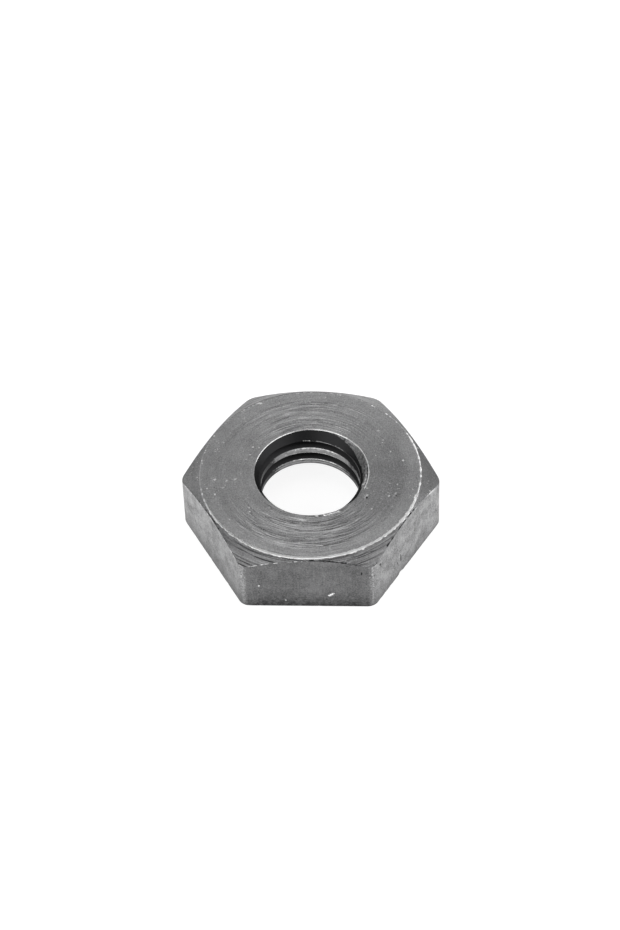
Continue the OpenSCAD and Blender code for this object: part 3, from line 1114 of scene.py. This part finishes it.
def camera_frame(studio):
    """Where the camera stands and which way it faces, as a matrix."""
    turn, tilt, roll = studio.camera_turn, studio.camera_height, studio.camera_roll
    back = Vector((math.sin(turn) * math.cos(tilt), -math.cos(turn) * math.cos(tilt), math.sin(tilt)))
    level_right = Vector((math.cos(turn), math.sin(turn), 0.0))
    level_up = back.cross(level_right)
    right = level_right * math.cos(roll) + level_up * math.sin(roll)
    up = level_up * math.cos(roll) - level_right * math.sin(roll)
    place = Vector((0, 0, studio.aim_height)) + back * studio.camera_distance
    place += up * studio.camera_up - right * studio.camera_left
    matrix = Matrix((right, up, back)).transposed().to_4x4()
    matrix.translation = place
    return matrix


def add_camera(scene, studio):
    """The camera that sees the nut as the photograph does."""
    lens = bpy.data.cameras.new("photo camera")
    lens.sensor_width = SENSOR
    lens.lens = studio.focal_pixels * SENSOR / PHOTO_TALL
    lens.clip_start = 0.01
    camera = bpy.data.objects.new("photo_camera", lens)
    camera.matrix_world = camera_frame(studio)
    scene.collection.objects.link(camera)
    scene.camera = camera


# Soft lamps round the nut: name, turn from +X towards +Y and height above the floor in degrees,
# width in metres, power in watts
LAMPS = (
    ("left_lamp", 222, 30, 0.7, 2.35),
    ("right_lamp", 350, 22, 0.8, 3.2),
    ("back_left_lamp", 132, 34, 0.4, 0.45),
    ("back_right_lamp", 65, 35, 0.4, 0.55),
    ("overhead_lamp", 270, 86, 0.4, 0.85),
)
LAMP_DISTANCE = 0.6

# Half the floor's width in metres, and its glow as the camera and reflections see it
FLOOR_REACH = 3.0
FLOOR_GLOW = 0.86
# Strength of the sky at the front and at the back, and the sines of the directions between which it changes
SKY_STRENGTHS = (0.05, 0.18)
SKY_CHANGE = (-0.8, 0.4)


def add_lamp(scene, name, turn, tilt, width, power):
    """A square soft lamp that faces the nut."""
    turn, tilt = math.radians(turn), math.radians(tilt)
    way = Vector((math.cos(turn) * math.cos(tilt), math.sin(turn) * math.cos(tilt), math.sin(tilt)))
    light = bpy.data.lights.new(name, "AREA")
    light.size = width
    light.energy = power
    lamp = bpy.data.objects.new(name, light)
    lamp.location = way * LAMP_DISTANCE
    lamp.rotation_euler = (-way).to_track_quat("-Z", "Y").to_euler()
    scene.collection.objects.link(lamp)


def add_floor(scene, studio):
    """The pale floor, white to the camera and in reflections, which keeps the nut's soft shadow."""
    mesh = bpy.data.meshes.new("floor")
    corners = [(x * FLOOR_REACH, y * FLOOR_REACH, 0) for x, y in ((-1, -1), (1, -1), (1, 1), (-1, 1))]
    mesh.from_pydata(corners, [], [(0, 1, 2, 3)])
    floor = bpy.data.objects.new("floor", mesh)
    scene.collection.objects.link(floor)
    sheet = NodeSheet(bpy.data.materials.new("pale floor"))
    rays = sheet.add("LightPath").outputs
    seen = sheet.maths("MAXIMUM", rays["Is Camera Ray"], rays["Is Glossy Ray"])
    seen = sheet.maths("MAXIMUM", seen, rays["Is Transmission Ray"])
    sheet.shade(Base_Color=(*studio.floor_colour, 1), Roughness=1.0, Specular_IOR_Level=0.0)
    sheet.shade(Emission_Color=(1, 1, 1, 1), Emission_Strength=sheet.times(seen, FLOOR_GLOW))
    mesh.materials.append(sheet.owner)


def add_sky(scene):
    """Plain soft light from all round, dimmer from the front."""
    scene.world = bpy.data.worlds.new("studio")
    sheet = NodeSheet(scene.world, "Background")
    way = sheet.add("TexCoord").outputs["Generated"]
    towards_y = sheet.add("SeparateXYZ", [(0, way)]).outputs["Y"]
    strength = sheet.ramp(towards_y, *SKY_CHANGE, *SKY_STRENGTHS)
    sheet.shade(Color=(1, 1, 1, 1), Strength=strength)


class LOCKNUT_OT_set_stage(bpy.types.Operator):
    """Set up the floor, the soft light and the camera"""

    bl_idname = "locknut.set_stage"
    bl_label = "Set Stage"

    def execute(self, context):
        scene = context.scene
        studio = scene.lock_nut_studio
        scene.view_settings.view_transform = "Standard"
        add_camera(scene, studio)
        add_floor(scene, studio)
        add_sky(scene)
        for name, turn, tilt, width, power in LAMPS:
            add_lamp(scene, name, turn, tilt, width, power)
        return {"FINISHED"}


class LOCKNUT_PT_sidebar(bpy.types.Panel):
    bl_label = "Lock Nut"
    bl_idname = "LOCKNUT_PT_sidebar"
    bl_space_type = "VIEW_3D"
    bl_region_type = "UI"
    bl_category = "Lock Nut"

    def draw(self, context):
        scene = context.scene
        for group in (scene.lock_nut_sizes, scene.lock_nut_finish, scene.lock_nut_studio):
            box = self.layout.box()
            for name in group.__annotations__:
                box.prop(group, name)
        self.layout.operator("locknut.make_nut")
        self.layout.operator("locknut.set_stage")


CLASSES = (
    LockNutSizes,
    LockNutFinish,
    LockNutStudio,
    LOCKNUT_OT_make_nut,
    LOCKNUT_OT_set_stage,
    LOCKNUT_PT_sidebar,
)


def register():
    for part in CLASSES:
        bpy.utils.register_class(part)
    bpy.types.Scene.lock_nut_sizes = PointerProperty(type=LockNutSizes)
    bpy.types.Scene.lock_nut_finish = PointerProperty(type=LockNutFinish)
    bpy.types.Scene.lock_nut_studio = PointerProperty(type=LockNutStudio)


def unregister():
    del bpy.types.Scene.lock_nut_studio
    del bpy.types.Scene.lock_nut_finish
    del bpy.types.Scene.lock_nut_sizes
    for part in reversed(CLASSES):
        bpy.utils.unregister_class(part)


def main():
    register()
    bpy.ops.locknut.make_nut()
    bpy.ops.locknut.set_stage()


if __name__ == "__main__":
    main()
